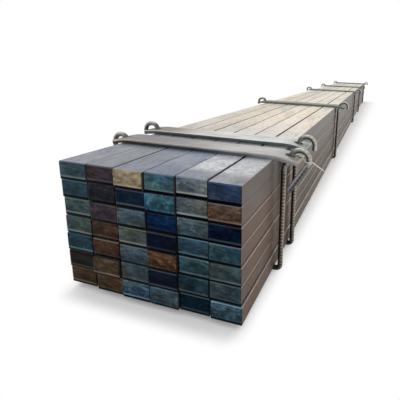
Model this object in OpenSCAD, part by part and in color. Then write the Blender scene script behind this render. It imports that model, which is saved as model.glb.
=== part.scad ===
// Bundle of rolled stainless steel flat bars, held by rebar hoops and drilled crosspieces.
// +X runs across the bundle, +Y along the bars and +Z up.
// The origin is on the floor, under the middle of the bundle's footprint.

/* [Bars] */
// Width of one bar
bar_w = 50; // [30:1:100]
// Thickness of one bar
bar_h = 30; // [15:1:60]
// Stock length of the bars
bar_len = 4000; // [2000:50:8000]
// Radius of the rolled long edges
edge_r = 2; // [0.5:0.1:4]
// Spacing between two layers that lie on each other
seat = 0.3; // [0.2:0.05:0.6]

/* [Crosspieces] */
// Width of a crosspiece along the bundle
cross_w = 52; // [40:1:80]
// Thickness of a crosspiece
cross_t = 8; // [5:0.5:10]
// Space between a crosspiece's end and the hook round it
end_room = 4; // [1:0.5:6]
// Angle by which a crosspiece's ends are drawn down
droop = 10; // [2:1:14]
// How much wider than the hoop bar its holes are
hole_room = 10; // [8:0.5:12]

/* [Hoops] */
// Diameter of the hoop bar
rod_d = 10; // [8:0.5:12]
// Radius of a hoop's lower corners, to the middle of the bar
corner_r = 7.5; // [7:0.5:20]
// Space between a hoop's right leg and the widest layer
right_room = 2.5; // [0.5:0.5:8]
// Space between a hoop's left leg and the widest layer
left_room = 0.5; // [0.5:0.5:8]
// Radius inside the hooks over the crosspiece ends
hook_in = 11; // [8:0.5:13]
// Radius inside the first hoop's wider right hook
wide_in = 11.5; // [8:0.5:13]
// Outward lean of a right leg where it passes through its hole
right_lean = 18; // [10:1:30]
// The same for the first hoop's right leg
first_lean = 28; // [15:1:32]
// Length of the plain tail of a hook
tail = 10; // [5:1:40]
// Length of the long tail that the first hoop was left with
long_tail = 57; // [30:1:60]

/* [Wire] */
// Diameter of the tie wire on the first crosspiece
wire_d = 2.5; // [2:0.1:2.6]
// How far the tie wire trails back along the bundle
wire_trail = 140; // [80:10:500]

/* [Hidden] */
$fn = 48;
layers = 7;
columns = 6;

// Gaps between neighbouring bars of each layer, lowest layer first.
side_gaps = [
    [5.0, 0.4, 0.5, 0.4, 1.9],
    [2.5, 0.4, 0.4, 0.6, 0.8],
    [1.5, 3.0, 0.4, 0.5, 0.4],
    [0.4, 2.9, 0.4, 0.4, 0.4],
    [3.7, 0.4, 0.5, 0.4, 0.4],
    [0.4, 4.0, 0.4, 0.4, 0.5],
    [0.4, 1.4, 0.5, 0.4, 2.4]];
// Sideways offset of each layer, lowest layer first.
layer_shift = [1.2, 0.4, 0.3, -0.4, 0, -0.6, 0];
// How far each bar's near end stands out of the stack, lowest layer first.
stand_out = [
    [-3, 0, 2, 2, -1, 1],
    [-1, 4, 1, 2, 0, -1],
    [-1, -1, 1, 3, -1, 0],
    [-2, -3, 0, 1, -2, -1],
    [-3, 1, 2, 0, -1, 0],
    [-2, -2, 1, 2, -1, 0],
    [0, -1, 2, -1, -4, 1]];
// Place of each crosspiece and its hoop, from the near end of the bars.
stations = [164, 262, 0.26 * bar_len, 0.533 * bar_len, 0.708 * bar_len, 0.945 * bar_len];

function sum(list, count) = count == 0 ? 0 : list[count - 1] + sum(list, count - 1);
function layer_w(i) = columns * bar_w + sum(side_gaps[i], columns - 1);
function bar_left(i, c) = layer_shift[i] - layer_w(i) / 2 + c * bar_w + sum(side_gaps[i], c);
function layer_z(i) = rod_d + seat + i * (bar_h + seat);

stack_top = layer_z(layers - 1) + bar_h;
right_side = max([for (i = [0:layers - 1]) layer_shift[i] + layer_w(i) / 2]);
left_side = max([for (i = [0:layers - 1]) layer_w(i) / 2 - layer_shift[i]]);
top_right = layer_shift[layers - 1] + layer_w(layers - 1) / 2;
top_left = layer_w(layers - 1) / 2 - layer_shift[layers - 1];
rod_r = rod_d / 2;
hook_r = hook_in + rod_r;
wide_r = wide_in + rod_r;
// A leg stands clear of the widest layer, and its corner clears the bars' rolled edge.
leg_right = right_side + max(right_room + rod_r, corner_r - edge_r);
leg_left = left_side + max(left_room + rod_r, corner_r - edge_r);

// How far a straight laps into a bend, and how much thinner the bend is.
lap = 0.5;
hair = 0.1;

// Each end of a clamp is [side of the top layer, leg, lean, radius of the bend into the lean,
// straight below the middle of the hole, straight above it, hook radius, room at the end,
// droop]. The first crosspiece's left end was drawn down furthest, and the others' least.
function right_end(n) = n == 1
    ? [top_right, leg_right + 2, first_lean, 20, 17, cross_t / 2 + 2, wide_r, end_room + 4.7, droop]
    : [top_right, leg_right, right_lean, 20, 12, cross_t / 2 + 2.5, hook_r, end_room + 1.6, droop];
function left_end(n) = n == 1
    ? [top_left, leg_left, 31, hook_r - 0.7, 1, cross_t / 2 - 3, hook_r - 0.7, end_room + 6, 1.3 * droop]
    : [top_left, leg_left, 8, hook_r, 1, cross_t / 2 - 3, hook_r, end_room + 5, 0.6 * droop];

// A leg bends outward, runs straight through its hole and then bends over into the hook.
// The hole lies where that straight meets the middle plane of the drawn-down crosspiece.
cross_mid = stack_top + seat + cross_t / 2;
function hole_x(e) = e[1] + e[3] * (1 - cos(e[2])) + e[4] * sin(e[2]);
function hole_z(e) = cross_mid - (hole_x(e) - e[0]) * tan(e[8]);
function lean_z(e) = hole_z(e) - e[4] * cos(e[2]) - e[3] * sin(e[2]);
function reach(e) = hole_x(e) + e[5] * sin(e[2]) + e[6] * (1 + cos(e[2])) + rod_r;

// The tie wire trails back just outside the first hoop's right hook.
wire_out = reach(right_end(1)) + wire_d / 2 + 0.5;

// The middle of the footprint, which lies over the origin.
middle_x = (max(wire_out + wire_d / 2, reach(right_end(2)))
    - max(reach(left_end(1)), reach(left_end(2)))) / 2;

function station_y(n) = stations[n - 1] - bar_len / 2;

// Section of a bar: a rectangle with rolled round edges.
module bar_section() {
    translate([edge_r, 0]) square([bar_w - 2 * edge_r, bar_h]);
    translate([0, edge_r]) square([bar_w, bar_h - 2 * edge_r]);
    for (x = [edge_r, bar_w - edge_r], z = [edge_r, bar_h - edge_r])
        translate([x, z]) circle(edge_r);
}

module layer(n) {
    i = n - 1;
    color(n % 2 == 0 ? "slategray" : "lightslategray")
        for (c = [0:columns - 1])
            translate([bar_left(i, c) - middle_x, bar_len / 2 - stand_out[i][c], layer_z(i)])
                rotate([90, 0, 0]) linear_extrude(bar_len) bar_section();
}

// Outline of one half of a crosspiece from below to above, its outer part drawn down.
function cross_outline(e) =
    let (end_x = reach(e) - rod_d - e[7])
    let (fall = (end_x - e[0] - cross_t * sin(e[8])) * tan(e[8]))
    [[e[0], 0],
     [end_x - cross_t * sin(e[8]), -fall],
     [end_x, cross_t * cos(e[8]) - fall],
     [e[0] + cross_t * tan(e[8] / 2), cross_t]];
function mirrored(outline) = [for (i = [3:-1:0]) [-outline[i][0], outline[i][1]]];

module hoop_hole(e) {
    translate([hole_x(e), 0, hole_z(e)]) rotate([0, e[8], 0])
        cylinder(h = 4 * cross_t, d = rod_d + hole_room, center = true);
}

module crosspiece(n) {
    color("rosybrown") translate([-middle_x, station_y(n), 0])
        difference() {
            translate([0, cross_w / 2, stack_top + seat]) rotate([90, 0, 0])
                linear_extrude(cross_w) polygon(concat(
                    cross_outline(right_end(n)), mirrored(cross_outline(left_end(n)))));
            hoop_hole(right_end(n));
            mirror([1, 0, 0]) hoop_hole(left_end(n));
        }
}

// A round bar bent step by step. Each step is ["go", length], ["bend", angle, radius],
// which turns the heading from +Z towards +X, or ["roll", angle] about the heading.
// A straight laps into the bends next to it, and a bend is a hair thinner than a straight.
module bent_bar(steps, d, i = 0) {
    if (i < len(steps)) {
        step = steps[i];
        if (step[0] == "go") {
            free_end = i == len(steps) - 1;
            translate([0, 0, -lap]) cylinder(h = step[1] + (free_end ? 1 : 2) * lap, d = d);
            translate([0, 0, step[1]]) bent_bar(steps, d, i + 1);
        }
        if (step[0] == "bend") {
            translate([step[2], 0, 0]) rotate([90, 0, 180])
                rotate_extrude(angle = step[1]) translate([step[2], 0]) circle(d = d - hair);
            translate([step[2] * (1 - cos(step[1])), 0, step[2] * sin(step[1])])
                rotate([0, step[1], 0]) bent_bar(steps, d, i + 1);
        }
        if (step[0] == "roll")
            rotate([0, 0, step[1]]) bent_bar(steps, d, i + 1);
    }
}

// One side of a hoop, from its lower corner up the leg to the end of its hook.
module hoop_side(e, tail_steps) {
    translate([e[1] - corner_r, 0, rod_r]) rotate([0, 90, 0]) rotate([0, 0, 180])
        bent_bar(concat([
            ["bend", 90, corner_r],
            ["roll", 180],
            ["go", lean_z(e) - rod_r - corner_r],
            ["bend", e[2], e[3]],
            ["go", e[4] + e[5]],
            ["bend", 180 - e[2], e[6]]], tail_steps), rod_d);
}

module hoop(n) {
    plain = [["go", tail]];
    kicked = [["go", 1], ["roll", -40], ["bend", 39, 10], ["go", long_tail]];
    run_left = corner_r - left_end(n)[1] - lap;
    run_right = right_end(n)[1] - corner_r + lap;
    color("dimgray") translate([-middle_x, station_y(n), 0]) {
        translate([run_left, 0, rod_r]) rotate([0, 90, 0]) cylinder(h = run_right - run_left, d = rod_d);
        hoop_side(right_end(n), n == 1 ? kicked : plain);
        mirror([1, 0, 0]) hoop_side(left_end(n), plain);
    }
}

// Corners of the tie wire, measured from the first hoop's plane: it lies on the crosspiece
// inside the right hook, drops off its end, passes the hook's near side above the kicked tail
// and trails back along the bundle.
wire_near = -(rod_r + wire_d / 2 + 0.75);
wire_fall = 0.386;
wire_lift = seat + wire_d / 2 / cos(droop);
wire_bend = 4;
wire_lap = 0.2;
end_top = cross_outline(right_end(1))[2] + [0, stack_top + seat];
wire_corners = [
    [end_top[0] - 11.7, 7, end_top[1] + 11.7 * tan(droop) + wire_lift],
    [end_top[0] + 1.5, 2.5, end_top[1] - 1.5 * tan(droop) + wire_lift],
    [reach(right_end(1)) - rod_r - 3.5, wire_near, end_top[1] - 5.2],
    [wire_out, wire_near, end_top[1] - 3.7],
    [wire_out, wire_trail, end_top[1] - 3.7 - wire_fall * (wire_trail - wire_near)]];

function unit(v) = v / norm(v);
function heading(i) = unit(wire_corners[i + 1] - wire_corners[i]);
function turn(i) = acos(heading(i - 1) * heading(i));
function cut(i) = i == 0 || i == len(wire_corners) - 1 ? 0 : wire_bend * tan(turn(i) / 2) - wire_lap;

module tie_wire() {
    color("silver") translate([-middle_x, station_y(1), 0]) {
        for (i = [0:len(wire_corners) - 2]) {
            run = heading(i);
            full = norm(wire_corners[i + 1] - wire_corners[i]);
            translate(wire_corners[i] + run * cut(i))
                rotate([0, acos(run[2]), atan2(run[1], run[0])])
                    cylinder(h = full - cut(i) - cut(i + 1), d = wire_d);
        }
        for (i = [1:len(wire_corners) - 2]) {
            u = heading(i - 1);
            n = unit(heading(i) - u * (heading(i) * u));
            k = cross(-n, u);
            c = wire_corners[i] - u * (cut(i) + wire_lap) + n * wire_bend;
            multmatrix([[-n[0], u[0], k[0], c[0]], [-n[1], u[1], k[1], c[1]], [-n[2], u[2], k[2], c[2]]])
                rotate_extrude(angle = turn(i)) translate([wire_bend, 0]) circle(d = wire_d - 3 * hair);
        }
    }
}

layer(1);  // layer_1
layer(2);  // layer_2
layer(3);  // layer_3
layer(4);  // layer_4
layer(5);  // layer_5
layer(6);  // layer_6
layer(7);  // layer_7
crosspiece(1);  // crosspiece_1
crosspiece(2);  // crosspiece_2
crosspiece(3);  // crosspiece_3
crosspiece(4);  // crosspiece_4
crosspiece(5);  // crosspiece_5
crosspiece(6);  // crosspiece_6
hoop(1);  // hoop_1
hoop(2);  // hoop_2
hoop(3);  // hoop_3
hoop(4);  // hoop_4
hoop(5);  // hoop_5
hoop(6);  // hoop_6
tie_wire();
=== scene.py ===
import math
import random

import bmesh
import bpy
import numpy as np
from mathutils import Matrix, Vector, noise


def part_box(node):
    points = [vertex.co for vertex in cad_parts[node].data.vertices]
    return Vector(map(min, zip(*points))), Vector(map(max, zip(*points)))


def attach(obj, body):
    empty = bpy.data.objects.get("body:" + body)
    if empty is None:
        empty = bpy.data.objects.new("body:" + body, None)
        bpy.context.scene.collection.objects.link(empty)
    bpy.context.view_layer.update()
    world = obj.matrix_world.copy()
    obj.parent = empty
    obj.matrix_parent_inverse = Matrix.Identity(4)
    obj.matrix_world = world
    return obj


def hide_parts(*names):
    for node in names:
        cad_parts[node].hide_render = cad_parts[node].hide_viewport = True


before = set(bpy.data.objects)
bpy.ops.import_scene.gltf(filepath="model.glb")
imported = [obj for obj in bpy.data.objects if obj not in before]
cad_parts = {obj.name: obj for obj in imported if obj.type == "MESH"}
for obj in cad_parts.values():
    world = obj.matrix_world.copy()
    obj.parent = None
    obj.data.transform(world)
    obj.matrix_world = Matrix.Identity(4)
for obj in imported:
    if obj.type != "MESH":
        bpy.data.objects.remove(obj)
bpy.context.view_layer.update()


# ---- Flat bars ----
# Forty-two hot-rolled stainless steel flats in seven layers of six. They are rolled with
# round long edges, then sheared to length, which rolls the upper rim of each end over and
# leaves it dished. The heat of rolling and the shear left a different tint on every end.

mm = 0.001
MERGE = 0.001 * mm
BAR_EDGE = 2 * mm
END_ROUND = 1.1 * mm
ROLL_OVER = 1.3 * mm
ROLL_OVER_DEPTH = 5 * mm
DISH = 0.7 * mm
UNEVEN = 0.5 * mm
PARTS = (10, 6, 9)       # of a bar's mesh between its round edges: across, along and up
TIGHT_JOINT = 0.3 * mm   # between two bars, and how much wider it is where it shows dark
WIDER_JOINT = 1.1 * mm


def solids_of(node):
    """Lowest and highest corner of each separate solid in a CAD node, from left to right."""
    shape = bmesh.new()
    shape.from_mesh(node.data)
    bmesh.ops.remove_doubles(shape, verts=shape.verts, dist=MERGE)
    waiting = set(shape.verts)
    corners = []
    while waiting:
        group = [waiting.pop()]
        for vert in group:
            for edge in vert.link_edges:
                other = edge.other_vert(vert)
                if other in waiting:
                    waiting.discard(other)
                    group.append(other)
        places = np.array([vert.co for vert in group])
        corners.append((Vector(places.min(0)), Vector(places.max(0))))
    shape.free()
    return sorted(corners, key=lambda box: box[0].x)


def marks(low, high, rounding, parts):
    """Places across one side of a bar: close over its two round edges, even between them."""
    edge = [0, (1 - math.tan(math.radians(22.5))) * rounding, rounding]
    inner = np.linspace(low + rounding, high - rounding, parts + 1)[1:-1]
    return [low + step for step in edge] + list(inner) + [high - step for step in reversed(edge)]


def skin(counts):
    """Grid points on the outside of a block, numbered, and the faces between them."""
    number = {}
    for i in range(counts[0]):
        for j in range(counts[1]):
            for k in range(counts[2]):
                if i in (0, counts[0] - 1) or j in (0, counts[1] - 1) or k in (0, counts[2] - 1):
                    number[i, j, k] = len(number)
    faces = []
    for axis in range(3):
        a, b = [other for other in range(3) if other != axis]
        for side in (0, counts[axis] - 1):
            for i in range(counts[a] - 1):
                for j in range(counts[b] - 1):
                    face = []
                    for step_a, step_b in ((0, 0), (1, 0), (1, 1), (0, 1)):
                        point = [0, 0, 0]
                        point[axis], point[a], point[b] = side, i + step_a, j + step_b
                        face.append(number[tuple(point)])
                    faces.append(face)
    return number, faces


def write_points(mesh, name, values):
    """Keeps one number, place or colour for each point of a mesh, for its material to read."""
    values = np.asarray(values, np.float32)
    kind, key = {1: ("FLOAT", "value"), 3: ("FLOAT_VECTOR", "vector"), 4: ("FLOAT_COLOR", "color")}[
        1 if values.ndim == 1 else values.shape[1]]
    mesh.attributes.new(name, kind, "POINT").data.foreach_set(key, values.ravel())


def linear(colour):
    """An sRGB hex colour as the linear RGBA that a shader takes."""
    parts = [int(colour[i:i + 2], 16) / 255 for i in (1, 3, 5)]
    return [c / 12.92 if c <= 0.04045 else ((c + 0.055) / 1.055) ** 2.4 for c in parts] + [1]


def add(material, kind, inputs=None, **settings):
    """Adds one node. Settings are its properties. Inputs are values, or sockets or nodes to
    link, where a node is linked by the first output that it has in use. An input is named, or
    given by its place: a MapRange takes 0 as the value, 1 and 2 as the range from, and 3 and 4
    as the range to (0 and 1 if left out); a Mix takes 0 as the share, and colours 6 and 7."""
    made = material.node_tree.nodes.new("ShaderNode" + kind)
    for name, value in settings.items():
        setattr(made, name, value)
    for name, value in (inputs or {}).items():
        if isinstance(value, bpy.types.Node):
            value = next(socket for socket in value.outputs if socket.enabled)
        if isinstance(value, bpy.types.NodeSocket):
            material.node_tree.links.new(value, made.inputs[name])
        else:
            made.inputs[name].default_value = value
    return made


def finish_named(name):
    """A new material with nothing but its output node."""
    material = bpy.data.materials.new(name)
    material.use_nodes = True
    material.node_tree.nodes.clear()
    return material


SMOOTH = {"interpolation_type": "SMOOTHSTEP"}   # for a MapRange that eases in and out

# Rolled face: descaled stainless steel, blue-grey near the heated ends and cream-silver along
# the length, its near-white cream there partly a painted sheen of the sky, with faint clouds
# about 60 mm across drawn out by the rolls, and far along golden bands of painted highlight and
# cool bands of painted reflection. It is smooth enough to mirror what stands on it. Two bars,
# and faintly a third, are burnished pale and crumpled near the end, the pale partly a painted
# glare.
rolled_face = finish_named("hot_rolled_stainless_face")
place = add(rolled_face, "Attribute", attribute_name="along").outputs["Vector"]
shade, heated, burnish_and_glare, rim, inner, gap = [
    add(rolled_face, "Attribute", attribute_name=name).outputs["Fac"]
    for name in ("shade", "heated", "burnish_and_glare", "rim", "inner", "gap")]
from_end = add(rolled_face, "SeparateXYZ", {0: place}).outputs["Y"]
# The colour along the length. Its near-white cream over most of it is partly a painted sheen of the
# sky.
along_share = add(rolled_face, "MapRange", {0: from_end, 1: 0, 2: 4.0})
colour = add(rolled_face, "ValToRGB", {0: along_share})
ramp = colour.color_ramp
ramp.elements[0].position, ramp.elements[0].color = 0.0, linear("#9fa2ac")
ramp.elements[1].position, ramp.elements[1].color = 1.0, linear("#d6d2c6")
for at, tint in ((0.021, "#a3a6af"), (0.03, "#bbbfc9"), (0.048, "#c0c0c2"), (0.056, "#d6d4d3"),
                 (0.08, "#e4dfd9"), (0.11, "#f4eade"), (0.15, "#fff3e2"), (0.35, "#fcf0de"),
                 (0.70, "#eee7d7")):
    ramp.elements.new(at).color = linear(tint)

# Tints in patches: each has its noise, where it starts and is full, its most, the part of the
# bar that has it, its colour, and how that is laid over the rest.
drawn_out = add(rolled_face, "VectorMath", {0: place, 1: (1, 0.3, 1)}, operation="MULTIPLY")
clouds, sheen_noise, grain, pits = [
    add(rolled_face, "TexNoise", {
        "Vector": drawn_out, "Scale": 1 / (size * mm), "Detail": detail, "Roughness": roughness})
    for size, detail, roughness in ((60, 5, 0.6), (110, 2, 0.5), (12, 6, 0.65), (5, 3, 0.6))]
far = add(rolled_face, "MapRange", {0: from_end, 1: 0.25, 2: 0.45}, **SMOOTH)
for patches, start, full, most, part, tint, blend in (
        (clouds, 0.45, 0.75, 0.35, 1, "#f0e7d8", "SOFT_LIGHT"),
        (clouds, 0.50, 0.30, 0.40, 1, "#b9b0a4", "MULTIPLY"),
        # far along: painted highlight in golden bands, and painted reflection of the crosspieces in
        # cool ones
        (sheen_noise, 0.50, 0.70, 0.55, far, "#f6e4c2", "MIX"),
        (sheen_noise, 0.50, 0.30, 0.50, far, "#c6cac6", "MIX"),
        (grain, 0.45, 0.70, 0.38, 1, "#a6a5a5", "MULTIPLY"),
        (pits, 0.50, 0.68, 0.40, 1, "#94949a", "MULTIPLY")):
    share = add(rolled_face, "MapRange", {0: patches, 1: start, 2: full, 4: most}, **SMOOTH)
    share = add(rolled_face, "Math", {0: share, 1: part}, operation="MULTIPLY")
    colour = add(rolled_face, "Mix", {0: share, 6: colour, 7: linear(tint)},
                 data_type="RGBA", blend_type=blend)

# The heat blued some bars for up to 200 mm.
blued = add(rolled_face, "MapRange", {0: from_end, 1: 0.2, 2: 0.1}, **SMOOTH)
blued = add(rolled_face, "Math", {0: blued, 1: heated}, operation="MULTIPLY")
for share, tint in ((shade, "#d2cec7"), (blued, "#bfcde1")):
    colour = add(rolled_face, "Mix", {0: share, 6: colour, 7: linear(tint)},
                 data_type="RGBA", blend_type="MULTIPLY")

# The burnished part, pale partly with a painted glare, lies 25 to 180 mm from the end,
# crumpled in folds about 16 mm across.
foil = add(rolled_face, "TexNoise", {
    "Vector": place, "Scale": 1 / (16 * mm), "Detail": 4, "Roughness": 0.6, "Distortion": 1.6})
near = add(rolled_face, "MapRange", {0: from_end, 1: 0.025, 2: 0.055}, **SMOOTH)
past = add(rolled_face, "MapRange", {0: from_end, 1: 0.18, 2: 0.14}, **SMOOTH)
crumple = add(rolled_face, "MapRange", {0: foil, 1: 0.35, 2: 0.65, 3: 0.35}, **SMOOTH)
for part in (near, past, burnish_and_glare):
    crumple = add(rolled_face, "Math", {0: crumple, 1: part}, operation="MULTIPLY")

# Outer edges are worn. The joints are dark: brown with dirt along the length, and near the end,
# only in the wider ones, nearly black with painted shade.
worn = add(rolled_face, "MapRange", {0: inner, 1: 0.3, 2: 0, 4: 0.6})
worn = add(rolled_face, "Math", {0: worn, 1: rim}, operation="MULTIPLY")
end_part = add(rolled_face, "MapRange", {0: from_end, 1: 0.3, 2: 0.15}, **SMOOTH)
gap_share = add(rolled_face, "Math", {0: end_part, 1: gap}, operation="MULTIPLY")
dirt_and_shade = add(rolled_face, "MapRange", {0: from_end, 1: 0.15, 2: 0.3, 4: 1.6}, **SMOOTH)
dirt_and_shade = add(rolled_face, "Math", {0: dirt_and_shade, 1: inner}, operation="MULTIPLY", use_clamp=True)
dirt_and_shade = add(rolled_face, "Math", {0: dirt_and_shade, 1: gap_share}, operation="MAXIMUM")
dirt_and_shade_tint = add(rolled_face, "Mix", {0: end_part, 6: linear("#4d4136"), 7: linear("#25232a")},
                data_type="RGBA")
for share, over in ((crumple, linear("#dfe0e3")), (worn, linear("#a79d92")), (dirt_and_shade, dirt_and_shade_tint)):
    colour = add(rolled_face, "Mix", {0: share, 6: colour, 7: over}, data_type="RGBA")

fine = add(rolled_face, "TexNoise", {
    "Vector": place, "Scale": 1 / (3.5 * mm), "Detail": 5, "Roughness": 0.7})
bump = add(rolled_face, "Bump", {"Strength": 0.12, "Distance": 0.4 * mm, "Height": fine})
dented = add(rolled_face, "Math", {0: crumple, 1: 0.5}, operation="MULTIPLY")
bump = add(rolled_face, "Bump", {
    "Strength": dented, "Distance": 2 * mm, "Height": foil, "Normal": bump})
rough = add(rolled_face, "MapRange", {0: grain, 1: 0.3, 2: 0.7, 3: 0.26, 4: 0.42})
metal = add(rolled_face, "BsdfPrincipled", {
    "Base Color": colour, "Metallic": 0.85, "Roughness": rough, "Normal": bump})
add(rolled_face, "OutputMaterial", {"Surface": metal})

# Rolled edge: the same steel with a thin brown mill scale, greyer on the top layers, worn pale
# along its round corners, black with dirt and painted shade in the joints, and painted dark with
# shade beside the hoops.
rolled_edge = finish_named("mill_scale_edge")
place = add(rolled_edge, "Attribute", attribute_name="along").outputs["Vector"]
tint = add(rolled_edge, "Attribute", attribute_name="tint").outputs["Color"]
rim, shade, inner, up, greyed = [
    add(rolled_edge, "Attribute", attribute_name=name).outputs["Fac"]
    for name in ("rim", "shade", "inner", "up", "greyed")]
drawn_out = add(rolled_edge, "VectorMath", {0: place, 1: (1, 0.1, 1)}, operation="MULTIPLY")
clouds = add(rolled_edge, "TexNoise", {
    "Vector": drawn_out, "Scale": 1 / (30 * mm), "Detail": 6, "Roughness": 0.65})
from_end = add(rolled_edge, "SeparateXYZ", {0: place}).outputs["Y"]
far, dark, darker_far, rubbed, dirt_and_shade, hot, end_shade = [
    add(rolled_edge, "MapRange", {0: source, 1: start, 2: full, 4: most}, **SMOOTH)
    for source, start, full, most in (
        (from_end, 0.15, 0.8, 1), (clouds, 0.45, 0.75, 0.5), (from_end, 0.2, 0.45, 1),
        (clouds, 0.3, 0.6, 0.85), (up, 5 * mm, 2.4 * mm, 0.9), (from_end, 7 * mm, 3 * mm, 0.8),
        (from_end, 60 * mm, 10 * mm, 0.3))]
# The far part of each side is darker by the bar's shade: on the second layer from the bottom this is
# painted shade from the floor.
darker_far = add(rolled_edge, "Math", {0: darker_far, 1: shade}, operation="MULTIPLY")
worn = add(rolled_edge, "Math", {0: rim, 1: rubbed}, operation="MULTIPLY")
# Dirt and painted shade darken each side just above its lower edge, where the bar below meets it, and
# the sides that face a neighbour.
dirt_and_shade = add(rolled_edge, "Math", {0: dirt_and_shade, 1: inner}, operation="MAXIMUM")
hot = add(rolled_edge, "Math", {0: hot, 1: inner}, operation="MULTIPLY")
greyed = add(rolled_edge, "Math", {0: greyed, 1: 0.75}, operation="MULTIPLY")

# Painted shade, nearly black and dull, lies between the two near hoops and just before each of
# the others, most of it on the upper layers.
clamp_y = [sum(corner.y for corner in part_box("crosspiece_%d" % count)) / 2 for count in range(1, 7)]
hoop_shaded = [((clamp_y[0] + clamp_y[1]) / 2, (clamp_y[1] - clamp_y[0]) / 2 + 14 * mm)]
hoop_shaded += [(y - 12 * mm, 30 * mm) for y in clamp_y[2:]]
whole_place = add(rolled_edge, "TexCoord").outputs["Object"]
_, y, level = add(rolled_edge, "SeparateXYZ", {0: whole_place}).outputs
hoop_shade = 0
for middle, half in hoop_shaded:
    off = add(rolled_edge, "Math", {0: y, 1: middle}, operation="SUBTRACT")
    off = add(rolled_edge, "Math", {0: off}, operation="ABSOLUTE")
    near = add(rolled_edge, "MapRange", {0: off, 1: half, 2: half * 0.4}, **SMOOTH)
    hoop_shade = add(rolled_edge, "Math", {0: hoop_shade, 1: near}, operation="MAXIMUM")
upper = add(rolled_edge, "MapRange", {0: level, 1: 0.08, 2: 0.2, 3: 0.35, 4: 0.8}, **SMOOTH)
hoop_shade = add(rolled_edge, "Math", {0: hoop_shade, 1: upper}, operation="MULTIPLY")

colour = linear("#725d50")
for share, over, blend in (
        (far, linear("#857c72"), "MIX"), (dark, linear("#59463a"), "MIX"),
        (darker_far, linear("#aba299"), "MULTIPLY"), (worn, linear("#c4ae98"), "MIX"),
        (dirt_and_shade, linear("#15120f"), "MIX"), (hot, tint, "MIX"), (greyed, linear("#6e6a68"), "MIX"),
        (end_shade, linear("#5a4d47"), "MIX"), (hoop_shade, linear("#1d1917"), "MIX")):
    colour = add(rolled_edge, "Mix", {0: share, 6: colour, 7: over},
                 data_type="RGBA", blend_type=blend)
fine = add(rolled_edge, "TexNoise", {"Vector": drawn_out, "Scale": 1 / (2.5 * mm), "Detail": 4})
bump = add(rolled_edge, "Bump", {"Strength": 0.15, "Distance": 0.4 * mm, "Height": fine})
bare = add(rolled_edge, "MapRange", {0: hoop_shade, 3: 0.8, 4: 0})
rough = add(rolled_edge, "MapRange", {0: hoop_shade, 3: 0.45, 4: 0.95})
metal = add(rolled_edge, "BsdfPrincipled", {
    "Base Color": colour, "Metallic": bare, "Roughness": rough, "Normal": bump})
add(rolled_edge, "OutputMaterial", {"Surface": metal})

# Sheared end: smooth torn steel under a heat tint of two colours, with pale flecks painted as
# glints, and a little darker below with painted shade. The blade's bite left a faint pale arch
# under the upper rim. Painted highlights lie along the rolled-over upper rim and on the burr
# near the lower one, and black painted shade fills the joint below the burr and the joints at
# both sides.
sheared_end = finish_named("heat_tinted_sheared_end")
place = add(sheared_end, "Attribute", attribute_name="end_place").outputs["Vector"]
tint, streak = [add(sheared_end, "Attribute", attribute_name=name).outputs["Color"]
                for name in ("tint", "streak")]
bite, rim_highlight_share, burr_highlight_share, joint_shade_height, across, up, from_top = [
    add(sheared_end, "Attribute", attribute_name=name).outputs["Fac"]
    for name in ("bite", "rim_highlight", "burr_highlight", "joint_shade_height", "across", "up", "from_top")]
waves = add(sheared_end, "TexNoise", {
    "Vector": place, "Scale": 1 / (14 * mm), "Detail": 5, "Roughness": 0.6, "Distortion": 0.6})
flow = add(sheared_end, "VectorMath", {0: place, 1: (0.4, 1, 1)}, operation="MULTIPLY")
# The finer of these two noises paints pale flecks as glints.
lines, glint_noise = [
    add(sheared_end, "TexNoise", {
        "Vector": flow, "Scale": 1 / (size * mm), "Detail": detail, "Roughness": roughness})
    for size, detail, roughness in ((5, 4, 0.6), (3.5, 3, 0.55))]

# Heights over the painted shade in the joint, and depths under the bowed and ragged bite line.
above = add(sheared_end, "Math", {0: up, 1: joint_shade_height}, operation="SUBTRACT")
bowed = add(sheared_end, "Math", {0: across, 1: across}, operation="MULTIPLY")
ragged = add(sheared_end, "MapRange", {0: waves, 1: 0.3, 2: 0.7, 3: -1.5 * mm, 4: 1.5 * mm})
depth = add(sheared_end, "Math", {0: bowed, 1: -5 * mm, 2: from_top}, operation="MULTIPLY_ADD")
depth = add(sheared_end, "Math", {0: depth, 1: ragged}, operation="ADD")
side = add(sheared_end, "Math", {0: across}, operation="ABSOLUTE")
wavy, lined, painted_glints, lower_shade, arch, leave, burr_highlight, rim_highlight, joint_shade, side = [
    add(sheared_end, "MapRange", {0: source, 1: start, 2: full, 4: most}, **SMOOTH)
    for source, start, full, most in (
        (waves, 0.46, 0.74, 0.65), (lines, 0.38, 0.66, 0.6), (glint_noise, 0.57, 0.7, 0.55),
        (up, 22 * mm, 4 * mm, 0.35), (depth, 1.5 * mm, 3.5 * mm, 1),
        (depth, 8.5 * mm, 3.5 * mm, 1), (above, 4 * mm, 1 * mm, 1),
        (from_top, 2.8 * mm, 1.4 * mm, 1), (above, 0.6 * mm, -0.6 * mm, 1),
        (side, 0.955, 0.985, 0.75))]
for part in (leave, bite):
    arch = add(sheared_end, "Math", {0: arch, 1: part}, operation="MULTIPLY")
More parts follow.
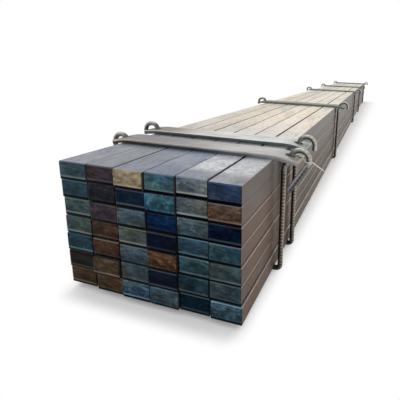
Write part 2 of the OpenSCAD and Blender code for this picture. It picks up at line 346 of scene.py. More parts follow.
# Painted highlights: one along the rolled-over upper rim, and one on the burr near the lower rim.
burr_highlight = add(sheared_end, "Math", {0: burr_highlight, 1: burr_highlight_share}, operation="MULTIPLY")
rim_highlight = add(sheared_end, "Math", {0: rim_highlight, 1: rim_highlight_share}, operation="MULTIPLY")
highlight_tint = add(sheared_end, "Mix", {0: 0.14, 6: streak, 7: linear("#a3a9ac")}, data_type="RGBA")
colour = tint
for share, over, blend in (
        (wavy, streak, "MIX"), (lined, linear("#6a6a70"), "MULTIPLY"), (painted_glints, streak, "MIX"),
        # painted shade, darker towards the bottom, then the bite's pale arch
        (lower_shade, linear("#9a9aa0"), "MULTIPLY"), (arch, streak, "MIX"),
        # painted highlights, then black painted shade in the joint below and in the joints at both
        # sides
        (burr_highlight, highlight_tint, "MIX"), (rim_highlight, highlight_tint, "MIX"), (joint_shade, linear("#05060a"), "MIX"),
        (side, linear("#090a0e"), "MIX")):
    colour = add(sheared_end, "Mix", {0: share, 6: colour, 7: over},
                 data_type="RGBA", blend_type=blend)
fine = add(sheared_end, "TexNoise", {"Vector": flow, "Scale": 1 / (3 * mm), "Detail": 4})
bump = add(sheared_end, "Bump", {"Strength": 0.2, "Distance": 0.4 * mm, "Height": fine})
metal = add(sheared_end, "BsdfPrincipled", {
    "Base Color": colour, "Metallic": 1.0, "Roughness": 0.34, "Normal": bump})
add(sheared_end, "OutputMaterial", {"Surface": metal})

# Each heat tint has the colour of the end and of its streaks.
TINTS = {
    "teal": ("#30444f", "#466270"), "dusk": ("#213b47", "#345562"),
    "plum": ("#362c31", "#524750"), "ink": ("#1d1d23", "#3a3842"),
    "straw": ("#96886c", "#cdbfa2"), "navy": ("#061a2d", "#182c44"),
    "sea": ("#395862", "#5f7b88"), "cyan": ("#26485a", "#5488a4"),
    "ash": ("#4b565d", "#727c82"), "indigo": ("#24354e", "#3e4f6c"),
    "bronze": ("#4b372b", "#796351"), "rust": ("#39251a", "#604936"),
    "sage": ("#324345", "#596966"), "slate": ("#34444c", "#55656d"),
    "royal": ("#031d3a", "#1a3b60"), "midnight": ("#040e20", "#14213a"),
    "stone": ("#3d4646", "#606968"), "pine": ("#25404a", "#4a6972"),
    "peacock": ("#122b33", "#1f586f"), "amber": ("#3e2a1c", "#8c6c52"),
    "umber": ("#0c0502", "#1c110a"), "honey": ("#43331e", "#705c46"),
    "treacle": ("#37220b", "#54401f"), "ice": ("#32495a", "#6890a6"),
    "lake": ("#3e4f58", "#708793"), "deep": ("#021f30", "#16384a"),
    "fir": ("#1a3039", "#3c5862"), "mist": ("#3c4d56", "#5f7079"),
    "pewter": ("#56616a", "#828b91")}
# The tint of each end, from left to right, by layer from the lowest.
END_TINTS = [
    "treacle honey ice lake deep ice",
    "umber honey mist midnight fir slate",
    "peacock rust slate amber pine slate",
    "sage rust stone midnight teal pine",
    "sage plum mist royal mist midnight",
    "dusk ink navy cyan ash bronze",
    "teal plum straw sea pewter indigo"]
BURNISH_AND_GLARE = {"bar_7_5": 1, "bar_7_6": 0.75, "bar_7_4": 0.2}
# How much darker each bar is along its length, by layer from the lowest, where on the second
# layer from the bottom it is painted shade from the floor, and by column on the top layer, and
# how far the heat blued each top bar near its end.
LAYER_SHADE = (0.5, 1, 0.85, 0.95, 0.55, 0.55)
TOP_SHADE = (0.3, 0.4, 0.3, 0.05, 0, 0.05)
TOP_HEATED = (0.45, 0.5, 0.6, 1, 0.4, 0)

dice = random.Random(11)
for layer, row in enumerate(END_TINTS):
    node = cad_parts["layer_%d" % (layer + 1)]
    bars = solids_of(node)
    for column, (low, high) in enumerate(bars):
        size = high - low
        rounding = np.array([BAR_EDGE, END_ROUND, BAR_EDGE])
        places = [marks(low[axis], high[axis], rounding[axis], PARTS[axis]) for axis in range(3)]
        number, faces = skin([len(side) for side in places])
        flat = np.array([[places[axis][key[axis]] for axis in range(3)] for key in number])

        # Every point near an edge is drawn onto the round of that edge.
        inside = np.clip(flat, np.array(low) + rounding, np.array(high) - rounding)
        outward = (flat - inside) / rounding
        outward /= np.linalg.norm(outward, axis=1)[:, None]
        shaped = inside + outward * rounding

        # Three random patterns, in patches 20 to 45 mm wide and 10 to 25 mm high.
        seed = Vector((dice.uniform(-9, 9), dice.uniform(-9, 9), 0))
        uneven, deep, warm = [
            np.array([noise.noise(Vector((x * wide, z * tall, cut)) + seed) for x, _, z in shaped])
            for wide, tall, cut in ((45, 90, 0), (35, 60, 3), (22, 40, 8))]

        # The shear leaves its marks on both ends: the top rim rolled over, and a shallow dish.
        across = (shaped[:, 0] - low.x) / size.x
        from_top = high.z - shaped[:, 2]
        rolled = ROLL_OVER * np.clip(1 - from_top / ROLL_OVER_DEPTH, 0, 1) ** 2
        fallen = np.clip(from_top / size.z, 0, 1)
        dished = DISH * np.sin(math.pi * across) * np.sin(math.pi * fallen) ** 2
        depth = np.abs(outward[:, 1]) * (rolled + dished + UNEVEN * (0.5 + 0.5 * uneven))
        shaped[:, 1] += depth * np.where(shaped[:, 1] < 0, 1, -1)

        name = "bar_%d_%d" % (layer + 1, column + 1)
        mesh = bpy.data.meshes.new(name)
        mesh.from_pydata(shaped.tolist(), [], faces)
        shape = bmesh.new()
        shape.from_mesh(mesh)
        bmesh.ops.recalc_face_normals(shape, faces=shape.faces)
        shape.to_mesh(mesh)
        shape.free()
        for finish in (rolled_face, rolled_edge, sheared_end):
            mesh.materials.append(finish)
        for face in mesh.polygons:
            turned = [abs(part) for part in face.normal]
            face.material_index = (1, 2, 0)[turned.index(max(turned))]
            face.use_smooth = True

        bar = bpy.data.objects.new(name, mesh)
        bpy.context.scene.collection.objects.link(bar)

        # What the finishes read: places on the bar, its tints in patches, its round edges, the
        # sides that face a neighbour and how open that joint is, and values for the whole bar.
        tint, streak = [np.array(linear(colour)) for colour in TINTS[row.split()[column]]]
        patches = np.stack([1 + 0.55 * deep + part * warm for part in (0.3, 0.1, -0.25)]
                           + [np.ones_like(deep)], 1).clip(0.4, 1.8)
        shift = np.array([seed.x, 0, seed.y]) * 0.3
        on_top = layer == len(END_TINTS) - 1
        inner, gap = np.zeros(len(shaped)), np.zeros(len(shaped))
        for turn in (-1, 1):
            if 0 <= column + turn < len(bars):
                left, right = sorted((column, column + turn))
                open_by = bars[right][0].x - bars[left][1].x
                wide = min(max((open_by - TIGHT_JOINT) / WIDER_JOINT, 0), 1)
                facing = np.clip(outward[:, 0] * turn * 1.4, 0, 1)
                inner += facing * (0.7 + 0.3 * wide if on_top else 1)
                gap += facing * wide
        for key, values in (
                ("along", shaped - [0, low.y, 0] + shift),
                ("end_place", shaped[:, [0, 2, 1]] * [1, 1, 0.1] + shift),
                ("across", 2 * across - 1), ("up", shaped[:, 2] - low.z), ("from_top", from_top),
                ("rim", np.clip((np.abs(outward) > 0.05).sum(axis=1) - 1, 0, 1)),
                ("inner", inner), ("gap", gap),
                ("tint", tint * patches), ("streak", streak * patches.clip(0.7, 1.4))):
            write_points(mesh, key, values)
        for key, value in (
                ("greyed", max(layer - 4, 0) / 2),
                ("shade", TOP_SHADE[column] if on_top else LAYER_SHADE[layer]),
                ("heated", TOP_HEATED[column] if on_top else 0),
                ("burnish_and_glare", BURNISH_AND_GLARE.get(name, 0)),
                ("bite", dice.uniform(0, 0.3)),
                ("rim_highlight", dice.choice((0.1, 0.35, 0.6, 0.9))),
                ("burr_highlight", dice.choice((0.1, 0.3, 0.6, 0.9))),
                ("joint_shade_height", (dice.uniform(4.2, 5.6) if layer > 3 else dice.uniform(3.3, 4.6)) * mm)):
            write_points(mesh, key, np.full(len(shaped), value))
        bar.modifiers.new("crisp_faces", "WEIGHTED_NORMAL").weight = 90
        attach(bar, "root")
        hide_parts(node.name)


# ---- Crosspieces ----
# Six short flats lie across the top layer, one for each hoop. They are stainless flat bar
# with a hole drilled near each end, and their ends are drawn down by the tightened hoops.

SEAT = 0.3 * mm          # from the top layer's bars up to the crosspieces
CROSS_EDGE = 1.2 * mm
CROSS_THICK = 8 * mm
CROSS_HALF = 190 * mm
DROOP = 10               # degrees that the right ends are drawn down, and the left ones
LEFT_DROOP = {1: 13, 2: 6, 3: 6, 4: 6, 5: 6, 6: 6}
BEND_HALF = 10 * mm
BEND_CUTS = 10


def flat_finish(name, lengthways, upper, shadowed_lower, edge):
    """Dull rolled stainless flat, with its colours lengthways from left to right. Its narrow
    sides are of an upper colour, and below it of darker lower ones lengthways, which paint the
    shadow of the gap where the flat lies over the bars."""
    material = finish_named(name)
    place = add(material, "TexCoord").outputs["Object"]
    rim, height = [add(material, "Attribute", attribute_name=name).outputs["Fac"]
                   for name in ("rim", "height")]
    along = add(material, "SeparateXYZ", {0: place}).outputs["X"]
    facing = add(material, "NewGeometry").outputs["True Normal"]
    facing = add(material, "SeparateXYZ", {0: facing}).outputs["Z"]
    rubbed = add(material, "VectorMath", {0: place, 1: (0.3, 1, 1)}, operation="MULTIPLY")
    clouds = add(material, "TexNoise", {
        "Vector": rubbed, "Scale": 1 / (20 * mm), "Detail": 5, "Roughness": 0.6})
    level = add(material, "Math", {0: facing}, operation="ABSOLUTE")
    level, high, dim, worn = [
        add(material, "MapRange", {0: source, 1: start, 2: full, 4: most}, **SMOOTH)
        for source, start, full, most in (
            (level, 0.5, 0.8, 1), (height, 0.55, 0.68, 1), (clouds, 0.4, 0.7, 0.5),
            (height, 0.6, 0.9, 0.8))]
    worn = add(material, "Math", {0: worn, 1: rim}, operation="MULTIPLY")
    across = add(material, "MapRange", {0: along, 1: -CROSS_HALF, 2: CROSS_HALF})
    face, shadowed_under = [add(material, "ValToRGB", {0: across}) for _ in range(2)]
    for ramp, shades in ((face.color_ramp, lengthways), (shadowed_under.color_ramp, shadowed_lower)):
        ramp.elements.remove(ramp.elements[1])
        for count, shade in enumerate(shades):
            if count:
                ramp.elements.new(count / (len(shades) - 1))
            ramp.elements[count].color = linear(shade)
    # Below, the narrow sides take the lower colours, which paint the shadow of the gap over the bars.
    colour = shadowed_under
    for share, over, blend in (
            (high, linear(upper), "MIX"), (level, face, "MIX"),
            (dim, linear("#b5b2b0"), "MULTIPLY"), (worn, linear(edge), "MIX")):
        colour = add(material, "Mix", {0: share, 6: colour, 7: over},
                     data_type="RGBA", blend_type=blend)
    fine = add(material, "TexNoise", {"Vector": rubbed, "Scale": 1 / (2 * mm), "Detail": 4})
    bump = add(material, "Bump", {"Strength": 0.2, "Distance": 0.4 * mm, "Height": fine})
    metal = add(material, "BsdfPrincipled", {
        "Base Color": colour, "Metallic": 0.8, "Roughness": 0.45, "Normal": bump})
    add(material, "OutputMaterial", {"Surface": metal})
    return material


def fall(x, left_droop, near_bend):
    """How far a drawn-down crosspiece has fallen at x, with or without its bend rounded."""
    past = abs(x - straight_middle) - straight_half
    slope = math.tan(math.radians(DROOP if x > straight_middle else left_droop))
    if near_bend and abs(past) < BEND_HALF:
        return (past + BEND_HALF) ** 2 / (4 * BEND_HALF) * slope
    return max(past, 0) * slope


beige_flat = flat_finish(
    "dull_rolled_flat_beige",
    ("#8e857f", "#868286", "#8c898c", "#adaaaa", "#c6c4c2", "#c6c5c3", "#8e8e8b"),
    "#bcb7ad",
    ("#43322a", "#43322a", "#4a403a", "#47464c", "#434853", "#3e4451", "#454d5a", "#545a66",
     "#636972", "#7f858f", "#959599", "#a8a49d"),
    "#c6c2b9")
blue_flat = flat_finish(
    "dull_rolled_flat_blue",
    ("#7d756c", "#958a80", "#cbc6bf", "#e2e2e0", "#dcdfdd", "#dadcda", "#7f827a"),
    "#757e84", ("#50575e", "#50575e", "#50575e", "#5d656b", "#757e84"), "#dcdedd")
grey_flat = flat_finish(
    "dull_rolled_flat_grey",
    ("#7b8079", "#888b84", "#8b8c85", "#80847d"),
    "#7e837c", ("#6b706a", "#6b706a", "#7e837c"), "#a5a79e")
pale_flat = flat_finish(
    "dull_rolled_flat_pale",
    ("#8b8e87", "#9a9b93", "#9a9b93", "#8f9188"),
    "#8d928b", ("#7c817a", "#7c817a", "#8d928b"), "#b3b4aa")
top_low, top_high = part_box("layer_7")
straight_middle = (top_low.x + top_high.x) / 2
straight_half = (top_high.x - top_low.x) / 2
cross_finish = [beige_flat, blue_flat, grey_flat, pale_flat, pale_flat, pale_flat]
for count, finish in enumerate(cross_finish, 1):
    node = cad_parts["crosspiece_%d" % count]
    name = "drilled_flat_%d" % count
    shape = bmesh.new()
    shape.from_mesh(node.data)
    bmesh.ops.remove_doubles(shape, verts=shape.verts, dist=MERGE)
    bmesh.ops.dissolve_limit(shape, angle_limit=math.radians(1), verts=shape.verts,
                             edges=shape.edges)
    sharp = [edge for edge in shape.edges if edge.calc_face_angle(0) > math.radians(30)]
    rounded = bmesh.ops.bevel(shape, geom=sharp, offset=CROSS_EDGE, segments=3, profile=0.5,
                              affect="EDGES", clamp_overlap=True)
    rim = shape.loops.layers.float.new("rim")
    for face in rounded["faces"]:
        for loop in face.loops:
            loop[rim] = 1
    for side in (-1, 1):
        for step in range(BEND_CUTS + 1):
            x = straight_middle + side * (straight_half + BEND_HALF * (2 * step / BEND_CUTS - 1))
            bmesh.ops.bisect_plane(shape, geom=shape.verts[:] + shape.edges[:] + shape.faces[:],
                                   plane_co=(x, 0, 0), plane_no=(1, 0, 0))
    height = shape.verts.layers.float.new("height")
    for vert in shape.verts:
        sharp_fall = fall(vert.co.x, LEFT_DROOP[count], False)
        vert[height] = (vert.co.z - top_high.z - SEAT + sharp_fall) / CROSS_THICK
        vert.co.z += sharp_fall - fall(vert.co.x, LEFT_DROOP[count], True)
    mesh = bpy.data.meshes.new(name)
    shape.to_mesh(mesh)
    shape.free()
    mesh.materials.append(finish)
    for face in mesh.polygons:
        face.use_smooth = True
    flat = bpy.data.objects.new(name, mesh)
    bpy.context.scene.collection.objects.link(flat)
    flat.modifiers.new("crisp_faces", "WEIGHTED_NORMAL").weight = 90
    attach(flat, "root")
    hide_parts(node.name)


# ---- Hoops ----
# A 10 mm ribbed reinforcing bar goes under the bars at each crosspiece, up both sides and out
# through the two holes, and is bent over the crosspiece's ends into hooks. It was bent cold
# by hand round a pin, so the first hoop's hooks differ from the others'.

ROD = 10 * mm
RIB_TOP = 9.86 * mm
CORE = 9.3 * mm
RIB_PITCH = 6.5 * mm
RIB_WIDTH = 1.8 * mm
RIB_SLANT = 0.14
SEAM_SHARE = 0.2         # of the bar's thickness, for the straight rib along each side
CUT_ROUND = 0.8 * mm
STEP = 0.8 * mm
CORNER = 7.5 * mm
SIDES = 24


def bent(steps, start, heading, towards):
    """Points close together along a bar bent step by step.
    A step is ("go", length), ("bend", degrees, radius) towards the given side, or
    ("roll", degrees), which turns that side about the heading."""
    points = [Vector(start)]
    heading, towards = Vector(heading), Vector(towards)
    for step in steps:
        here = points[-1].copy()
        if step[0] == "roll":
            towards.rotate(Matrix.Rotation(math.radians(step[1]), 3, heading))
            continue
        turn = math.radians(step[1]) if step[0] == "bend" else 0
        run = turn * step[2] if turn else step[1]
        count = max(2, round(run / STEP))
        for i in range(1, count + 1):
            if turn:
                a = turn * i / count
                points.append(here + towards * step[2] * (1 - math.cos(a))
                              + heading * step[2] * math.sin(a))
            else:
                points.append(here + heading * run * i / count)
        if turn:
            heading, towards = (heading * math.cos(turn) + towards * math.sin(turn),
                                towards * math.cos(turn) - heading * math.sin(turn))
    return points


def swept(name, points, radius_at, sides):
    """A round bar along points. radius_at gives the radius for a place along it and an angle."""
    points = np.array(points)
    steps = np.linalg.norm(np.diff(points, axis=0), axis=1)
    run = np.concatenate([[0], np.cumsum(steps)])
    heading = np.gradient(points, axis=0)
    heading /= np.linalg.norm(heading, axis=1)[:, None]
    side = np.zeros_like(points)
    side[0] = (0, 1, 0)
    side[0] -= heading[0] * side[0].dot(heading[0])
    for i in range(1, len(points)):
        side[i] = side[i - 1] - heading[i] * side[i - 1].dot(heading[i])
        side[i] /= np.linalg.norm(side[i])
    other = np.cross(heading, side)
    angle = np.arange(sides) * 2 * math.pi / sides
    radius, relief = radius_at(run[:, None], angle[None, :], run[-1])
    ring = (side[:, None, :] * np.cos(angle)[None, :, None]
            + other[:, None, :] * np.sin(angle)[None, :, None])
    skin_points = (points[:, None, :] + ring * radius[:, :, None]).reshape(-1, 3)
    rings = len(points)
    ring_start, around = np.arange(rings - 1)[:, None] * sides, np.arange(sides)[None, :]
    first = (ring_start + around).ravel()
    after = (ring_start + (around + 1) % sides).ravel()
    faces = np.stack([first, after, after + sides, first + sides], 1).tolist()
    faces.append(list(range(sides))[::-1])
    faces.append(list(range((rings - 1) * sides, rings * sides)))
    mesh = bpy.data.meshes.new(name)
    mesh.from_pydata(skin_points.tolist(), [], faces)
    for face in mesh.polygons:
        face.use_smooth = len(face.vertices) == 4
    write_points(mesh, "relief", np.broadcast_to(relief, radius.shape).ravel())
    middle = ((points.min(0) + points.max(0)) / 2 - points) * [1, 0, 1]
    middle /= -np.linalg.norm(middle, axis=1)[:, None]
    write_points(mesh, "outward", np.einsum("rsk,rk->rs", ring, middle).ravel())
    write_points(mesh, "to_end", np.broadcast_to(run[-1] - run[:, None], radius.shape).ravel())
    made = bpy.data.objects.new(name, mesh)
    bpy.context.scene.collection.objects.link(made)
    return made


def ribbed(run, angle, length):
    """Crescent ribs on two sides of the bar, and a straight rib along each side between them.
    The cut ends are a tenth thinner."""
    crescent = np.abs(np.cos(angle)) ** 0.6
    slant = RIB_SLANT * np.where(np.cos(angle) > 0, np.sin(angle), -np.sin(angle))
    phase = np.abs((run / RIB_PITCH + slant) % 1 - 0.5) * RIB_PITCH
    rib = np.clip(1.3 - phase / (RIB_WIDTH / 2) * 0.9, 0, 1) * crescent
    seam = np.clip(1 - np.abs(np.cos(angle)) / SEAM_SHARE, 0, 1) + 0 * run
    relief = np.maximum(rib, seam)
    cut = np.clip(np.minimum(run, length - run) / CUT_ROUND, 0, 1)
    radius = (CORE / 2 + (RIB_TOP - CORE) / 2 * relief) * (0.9 + 0.1 * cut)
    return radius, relief * cut


# Reinforcing bar: dark brown oxide on the legs, rubbed to grey where the hooks were bent. The
# tops of the ribs are worn pale. A painted highlight makes the hoop's outer side pale, the rib
# tops most, and painted shade makes its inner side nearly black. The long tail kept a blue-black
# scale, with a painted highlight along its side towards the near end and the bundle.
ribbed_bar = finish_named("oxidised_reinforcing_bar")
place = add(ribbed_bar, "TexCoord").outputs["Object"]
relief, outward, blued, tail_highlight = [
    add(ribbed_bar, "Attribute", attribute_name=name).outputs["Fac"]
    for name in ("relief", "outward", "blued", "tail_highlight")]
spots = add(ribbed_bar, "TexNoise", {
    "Vector": place, "Scale": 1 / (12 * mm), "Detail": 5, "Roughness": 0.65})
level = add(ribbed_bar, "SeparateXYZ", {0: place}).outputs["Z"]
# Painted highlight on the hoop's outer side (rubbed, and worn with the rib tops), and painted shade,
# nearly black, on its inner side (dark).
bent_part, dim, rubbed, worn, dark = [
    add(ribbed_bar, "MapRange", {0: source, 1: start, 2: full, 3: least, 4: most}, **SMOOTH)
    for source, start, full, least, most in (
        (level, 0.185, 0.225, 0, 1), (spots, 0.4, 0.7, 0, 0.6), (outward, 0.3, 0.95, 0, 0.35),
        (outward, 0, 0.85, 0.12, 0.75), (outward, 0.35, -0.2, 0, 0.8))]
worn = add(ribbed_bar, "Math", {0: worn, 1: relief}, operation="MULTIPLY")
scale = add(ribbed_bar, "Math", {0: blued, 1: 0.85}, operation="MULTIPLY")
scale_tint = add(ribbed_bar, "Mix", {0: relief, 6: linear("#34323b"), 7: linear("#4b4853")},
                 data_type="RGBA")
colour = linear("#524c42")
for share, over, blend in (
        (bent_part, linear("#b7b8b6"), "MIX"), (dim, linear("#8a837b"), "MULTIPLY"),
        (rubbed, linear("#b5ab9c"), "MIX"), (worn, linear("#ddd5c6"), "MIX"),
        (dark, linear("#2a2523"), "MIX"), (scale, scale_tint, "MIX"),
        (tail_highlight, linear("#c3bfc6"), "MIX")):
    colour = add(ribbed_bar, "Mix", {0: share, 6: colour, 7: over},
                 data_type="RGBA", blend_type=blend)
fine = add(ribbed_bar, "TexNoise", {"Vector": place, "Scale": 1 / (1.5 * mm), "Detail": 4})
bump = add(ribbed_bar, "Bump", {"Strength": 0.2, "Distance": 0.3 * mm, "Height": fine})
metal = add(ribbed_bar, "BsdfPrincipled", {
    "Base Color": colour, "Metallic": 0.75, "Roughness": 0.38, "Normal": bump})
add(ribbed_bar, "OutputMaterial", {"Surface": metal})

boxes = [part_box("layer_%d" % (layer + 1)) for layer in range(7)]
stack_top = boxes[6][1].z
widest = {1: max(high.x for _, high in boxes), -1: -min(low.x for low, _ in boxes)}
top_side = {1: boxes[6][1].x, -1: -boxes[6][0].x}
cross_middle = stack_top + SEAT + CROSS_THICK / 2
# The legs stand 2.5 mm clear of the widest layer on the right, and 0.5 mm on the left.
leg_x = {1: widest[1] + ROD / 2 + 2.5 * mm, -1: widest[-1] + ROD / 2 + 0.5 * mm}
PLAIN_TAIL = [("go", 10 * mm)]
KICKED_TAIL = [("go", 1 * mm), ("roll", -40), ("bend", 39, 10 * mm), ("go", 57 * mm)]
BLUED_LENGTH = 50 * mm
TAIL_HIGHLIGHT_SIDE = Vector((-0.6, -0.74, 0.3))


def hoop_side(side, y, leg, droop, lean, ease, below, above, hook, tail):
    """One side of a hoop from the middle of its base: corner, leg, lean through the hole, hook
    and tail. The lean is bent to the radius ease, and is straight for a length below and above
    the hole. The hook is bent to the radius hook."""
    hole_x = leg + ease * (1 - math.cos(lean)) + below * math.sin(lean)
    hole_z = cross_middle - (hole_x - top_side[side]) * math.tan(math.radians(droop))
    lean_z = hole_z - below * math.cos(lean) - ease * math.sin(lean)
    degrees = math.degrees(lean)
    steps = [("go", leg - CORNER), ("bend", 90, CORNER), ("roll", 180),
             ("go", lean_z - ROD / 2 - CORNER), ("bend", degrees, ease), ("go", below + above),
             ("bend", 180 - degrees, hook)] + tail
    points = bent(steps, (0, y, ROD / 2), (1, 0, 0), (0, 0, 1))
    return [Vector((side * p.x, p.y, p.z)) for p in points]


for count in range(1, 7):
    y = clamp_y[count - 1]
    if count == 1:
        right = hoop_side(1, y, leg_x[1] + 2 * mm, DROOP, lean=math.radians(28), ease=20 * mm,
                          below=17 * mm, above=6 * mm, hook=16.5 * mm, tail=KICKED_TAIL)
        left = hoop_side(-1, y, leg_x[-1], LEFT_DROOP[count], lean=math.radians(31), ease=15.3 * mm,
                         below=1 * mm, above=1 * mm, hook=15.3 * mm, tail=PLAIN_TAIL)
    else:
        right = hoop_side(1, y, leg_x[1], DROOP, lean=math.radians(18), ease=20 * mm,
                          below=12 * mm, above=6.5 * mm, hook=16 * mm, tail=PLAIN_TAIL)
        left = hoop_side(-1, y, leg_x[-1], LEFT_DROOP[count], lean=math.radians(8), ease=16 * mm,
                         below=1 * mm, above=1 * mm, hook=16 * mm, tail=PLAIN_TAIL)
    hoop = swept("ribbed_hoop_%d" % count, left[:0:-1] + right, ribbed, SIDES)
    to_end = np.zeros(len(hoop.data.vertices), np.float32)
    hoop.data.attributes["to_end"].data.foreach_get("value", to_end)
    blued = np.clip(1 - (to_end - BLUED_LENGTH) / (10 * mm), 0, 1) if count == 1 else 0 * to_end
    # The tail's painted highlight lies on its side that faces the near end and the bundle.
    facing = np.array([vert.normal.dot(TAIL_HIGHLIGHT_SIDE) for vert in hoop.data.vertices])
    write_points(hoop.data, "blued", blued)
    write_points(hoop.data, "tail_highlight", blued * np.clip((facing - 0.68) / 0.15, 0, 1) * 0.85)
    hoop.data.materials.append(ribbed_bar)
    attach(hoop, "root")
    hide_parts("hoop_%d" % count)


# ---- Tie wire ----
# A loose end of soft pale tie wire, 2.5 mm thick, left hooked over the right end of the first
# crosspiece. It lies on the crosspiece, drops over its end and trails back along the bundle.

WIRE = 2.5 * mm
WIRE_DRAWN = 0.94 * WIRE
WIRE_BEND = 4 * mm
BEND_PARTS = 8
TRAIL_PARTS = 60
IN_FRONT = 7 * mm        # of the hoop, where the wire passes the hook
TRAIL = 140 * mm         # behind the hoop
TRAIL_FALL = 0.386       # down for each 1 along


def drawn(run, angle, length):
    """A plain round wire, a little inside its CAD solid."""
    return np.full((len(run), angle.shape[1]), WIRE_DRAWN / 2), 0 * run


# Drawn and annealed steel wire: pale, a little shiny, and cloudy in spots about 10 mm long.
tie_finish = finish_named("soft_tie_wire")
place = add(tie_finish, "TexCoord").outputs["Object"]
spots = add(tie_finish, "TexNoise", {"Vector": place, "Scale": 1 / (10 * mm), "Detail": 3})
colour = add(tie_finish, "Mix", {0: spots, 6: linear("#b5aea2"), 7: linear("#e8e3d8")},
             data_type="RGBA")
metal = add(tie_finish, "BsdfPrincipled", {
    "Base Color": colour, "Metallic": 0.7, "Roughness": 0.35})
add(tie_finish, "OutputMaterial", {"Surface": metal})

flat_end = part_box("crosspiece_1")[1].x
hoop_y = clamp_y[0]
falling = math.tan(math.radians(DROOP))
end_top = top_high.z + SEAT + CROSS_THICK * math.cos(math.radians(DROOP)) - falling * (
    flat_end - top_high.x - CROSS_THICK * math.sin(math.radians(DROOP)))
lift = SEAT + WIRE / 2 / math.cos(math.radians(DROOP))
hook_out = max(vert.co.x for vert in bpy.data.objects["ribbed_hoop_1"].data.vertices)
wire_out = hook_out + WIRE / 2 + 0.5 * mm
passing = end_top - 3.7 * mm
corners = [Vector(corner) for corner in (
    (flat_end - 11.7 * mm, hoop_y + 7 * mm, end_top + 11.7 * mm * falling + lift),
    (flat_end + 1.5 * mm, hoop_y + 2.5 * mm, end_top - 1.5 * mm * falling + lift),
    (hook_out - ROD / 2 - 3.5 * mm, hoop_y - IN_FRONT, passing - 1.5 * mm),
    (wire_out, hoop_y - IN_FRONT, passing),
    (wire_out, hoop_y + TRAIL, passing - TRAIL_FALL * (TRAIL + IN_FRONT)))]
points = [corners[0]]
for before, corner, after in zip(corners, corners[1:], corners[2:]):
    into, out = (corner - before).normalized(), (after - corner).normalized()
    turn = into.angle(out)
    cut = WIRE_BEND * math.tan(turn / 2)
    start = corner - into * cut
    inward = (out - into * into.dot(out)).normalized()
    count = max(2, round((start - points[-1]).length / (2 * mm)))
    points += [points[-1].lerp(start, i / count) for i in range(1, count)]
    for i in range(BEND_PARTS + 1):
        a = turn * i / BEND_PARTS
        points.append(start + into * WIRE_BEND * math.sin(a)
                      + inward * WIRE_BEND * (1 - math.cos(a)))
points += [points[-1].lerp(corners[-1], i / TRAIL_PARTS) for i in range(1, TRAIL_PARTS + 1)]
wire = swept("soft_tie_wire_end", points, drawn, 12)
wire.data.materials.append(tie_finish)
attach(wire, "root")
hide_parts("tie_wire")


# ---- Floor, light and camera ----
# A plain white floor under soft light from all round, a little stronger from above, where one
# large lamp hangs. The camera stands off the end with the two hoops close together.

# The floor keeps the bundle's shadow close to it, and is plain white further off. The shadow
# fades over 34 mm beside the near end, and over six times that at the far one. Only the camera
# sees the plain white of floor and world: metal mirrors the lit floor and sky.
floor_finish = finish_named("white_floor")
path = add(floor_finish, "LightPath")
place = add(floor_finish, "TexCoord").outputs["Object"]
x, y, _ = add(floor_finish, "SeparateXYZ", {0: place}).outputs
beyond = []
for axis, shift, half in ((x, 12 * mm, 132 * mm), (y, 0, 2.0)):
    size = add(floor_finish, "Math", {0: axis, 1: shift}, operation="ADD")
    size = add(floor_finish, "Math", {0: size}, operation="ABSOLUTE")
    size = add(floor_finish, "Math", {0: size, 1: half}, operation="SUBTRACT")
    beyond.append(add(floor_finish, "Math", {0: size, 1: 0}, operation="MAXIMUM"))
spread = add(floor_finish, "MapRange", {0: y, 1: -1.95, 2: 2.0, 3: 1.0, 4: 6.0})
beyond[0] = add(floor_finish, "Math", {0: beyond[0], 1: spread}, operation="DIVIDE")
away = add(floor_finish, "CombineXYZ", {0: beyond[0], 1: beyond[1]})
away = add(floor_finish, "VectorMath", {0: away}, operation="LENGTH").outputs["Value"]
clear = add(floor_finish, "MapRange", {0: away, 1: 9 * mm, 2: 43 * mm}, **SMOOTH)
white = add(floor_finish, "BsdfDiffuse", {"Color": linear("#f4f4f4")})
glow = add(floor_finish, "Emission", {"Color": linear("#ffffff"), "Strength": 0.1})
both = add(floor_finish, "AddShader", {0: white, 1: glow})
plain = add(floor_finish, "Emission", {"Color": linear("#ffffff"), "Strength": 1})
seen = add(floor_finish, "MixShader", {0: clear, 1: both, 2: plain})
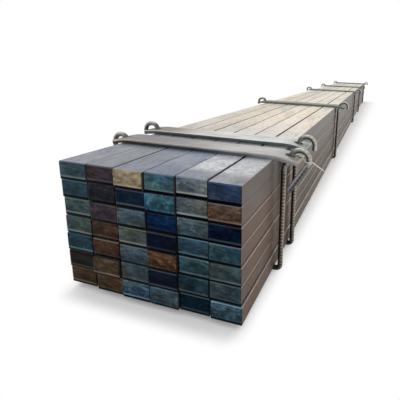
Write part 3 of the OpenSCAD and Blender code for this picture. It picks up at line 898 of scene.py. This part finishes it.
shown = add(floor_finish, "MixShader", {0: path.outputs["Is Camera Ray"], 1: white, 2: seen})
add(floor_finish, "OutputMaterial", {"Surface": shown})
mesh = bpy.data.meshes.new("floor")
FLOOR_HALF = 15
quarters = ((-1, -1), (1, -1), (1, 1), (-1, 1))
mesh.from_pydata([(x * FLOOR_HALF, y * FLOOR_HALF, 0) for x, y in quarters], [], [(0, 1, 2, 3)])
mesh.materials.append(floor_finish)
floor = bpy.data.objects.new("floor", mesh)
bpy.context.scene.collection.objects.link(floor)

world = bpy.data.worlds.new("studio")
bpy.context.scene.world = world
world.use_nodes = True
world.node_tree.nodes.clear()
path = add(world, "LightPath")
up = add(world, "SeparateXYZ", {0: add(world, "TexCoord").outputs["Generated"]}).outputs["Z"]
high = add(world, "MapRange", {0: up, 1: 0, 2: 0.9}, **SMOOTH)
sky = add(world, "Mix", {0: high, 6: linear("#e6e5e3"), 7: linear("#ffffff")}, data_type="RGBA")
lit = add(world, "Background", {"Color": sky, "Strength": 1.0})
plain = add(world, "Background", {"Color": linear("#ffffff"), "Strength": 1})
shown = add(world, "MixShader", {0: path.outputs["Is Camera Ray"], 1: lit, 2: plain})
add(world, "OutputWorld", {"Surface": shown})

lamp = bpy.data.objects.new("top_light", bpy.data.lights.new("top_light", "AREA"))
bpy.context.scene.collection.objects.link(lamp)
lamp.data.shape = "RECTANGLE"
lamp.data.size = 2.5
lamp.data.size_y = 4
lamp.data.energy = 25
lamp.location = (-1, -0.5, 3.2)
lamp.rotation_euler = (-lamp.location).to_track_quat("-Z", "Y").to_euler()

camera = bpy.data.objects.new("camera", bpy.data.cameras.new("camera"))
bpy.context.scene.collection.objects.link(camera)
bpy.context.scene.camera = camera
camera.location = (0.29702, -2.38506, 0.37276)
camera.rotation_euler = [math.radians(turn) for turn in (77.186, -1.973, 16.558)]
camera.data.lens = 30.27
camera.data.shift_x = -0.190
camera.data.shift_y = -0.139
camera.data.clip_start = 0.01
camera.data.clip_end = 100
bpy.context.scene.view_settings.view_transform = "Standard"
